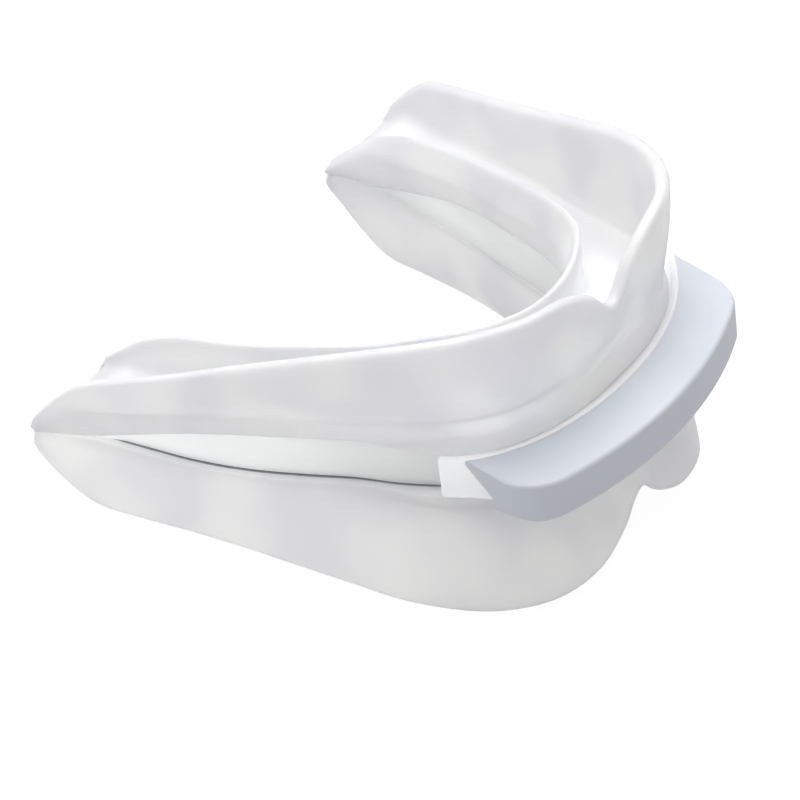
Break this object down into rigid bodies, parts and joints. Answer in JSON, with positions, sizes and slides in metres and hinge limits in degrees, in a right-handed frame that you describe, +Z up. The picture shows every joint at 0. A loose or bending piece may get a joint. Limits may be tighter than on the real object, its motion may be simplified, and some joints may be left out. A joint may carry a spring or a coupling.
{
  "type": "double mouthguard",
  "caption": "Clear double-arch mouthguard: channel trays for both rows of teeth back to back on a bite wedge, with a grey curved lip bumper at the front.",
  "frame": {"origin": "on the table, below the centre of the overall box", "axes": "+X to one side of the mouth (the shape mirrors across X = 0), -Y towards the lips, +Z up; the guard lies in its natural rest, pitched 11.3 degrees with its front up, so its bite plane slopes down to the rear"},
  "size_m": [0.0606, 0.0528, 0.032],
  "materials": {
    "upper_tray": "soft clear elastomer, satin",
    "lower_tray": "soft clear elastomer, satin",
    "bite_web": "soft clear elastomer, satin",
    "front_neck": "soft clear elastomer, satin",
    "lip_bumper": "opaque satin elastomer"
  },
  "bodies": {
    "root": {"upper_tray": "upper_tray", "lower_tray": "lower_tray", "bite_web": "bite_web", "front_neck": "front_neck", "lip_bumper": "lip_bumper"}
  },
  "joints": []
}
